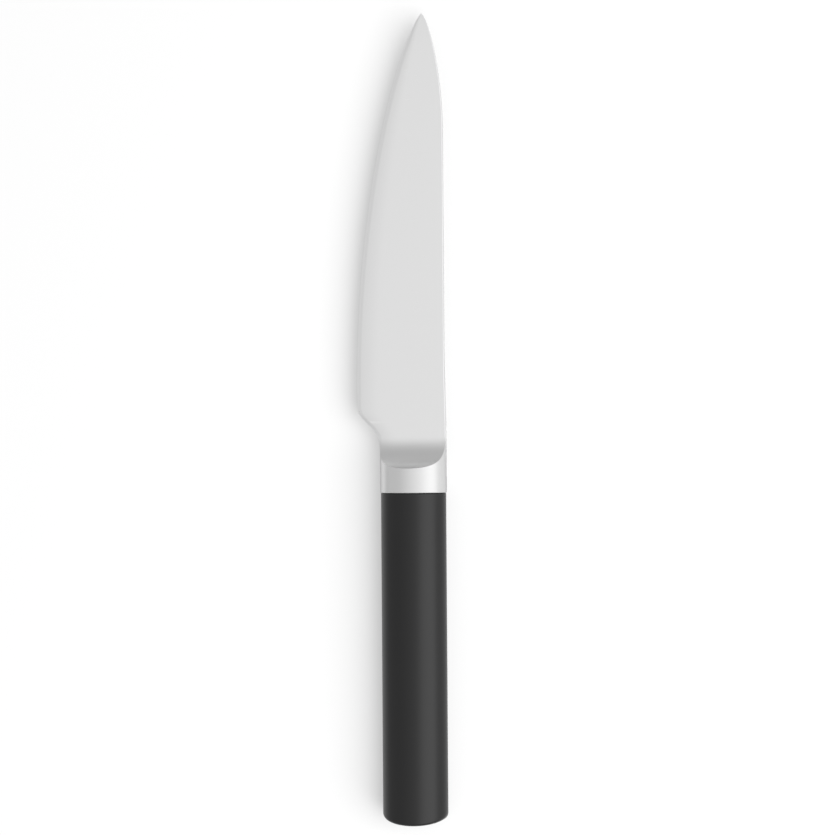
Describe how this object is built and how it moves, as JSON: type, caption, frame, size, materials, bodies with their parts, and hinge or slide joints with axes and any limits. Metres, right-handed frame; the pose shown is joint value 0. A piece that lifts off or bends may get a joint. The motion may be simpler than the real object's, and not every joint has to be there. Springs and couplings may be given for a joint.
{
  "type": "meat knife",
  "caption": "Kitchen knife with a pointed flat-ground steel blade, a scalloped steel bolster and an oval black moulded grip.",
  "frame": {"origin": "middle of the knife's footprint, on the surface that it lies on", "axes": "+Y along the knife from butt to tip, +X from the cutting edge to the spine, +Z square to the flat of the blade"},
  "size_m": [0.0318, 0.2852, 0.0173],
  "materials": {
    "blade_steel": "fine satin grind across the blade",
    "bolster_steel": "satin polish",
    "grip_plastic": "satin black moulding",
    "core_plastic": "plain moulding",
    "pin_steel": "drawn wire"
  },
  "bodies": {
    "root": {"blade": "blade_steel", "bolster": "bolster_steel", "grip": "grip_plastic", "core_left": "core_plastic", "core_right": "core_plastic", "front_pin": "pin_steel", "rear_pin": "pin_steel"}
  },
  "joints": []
}
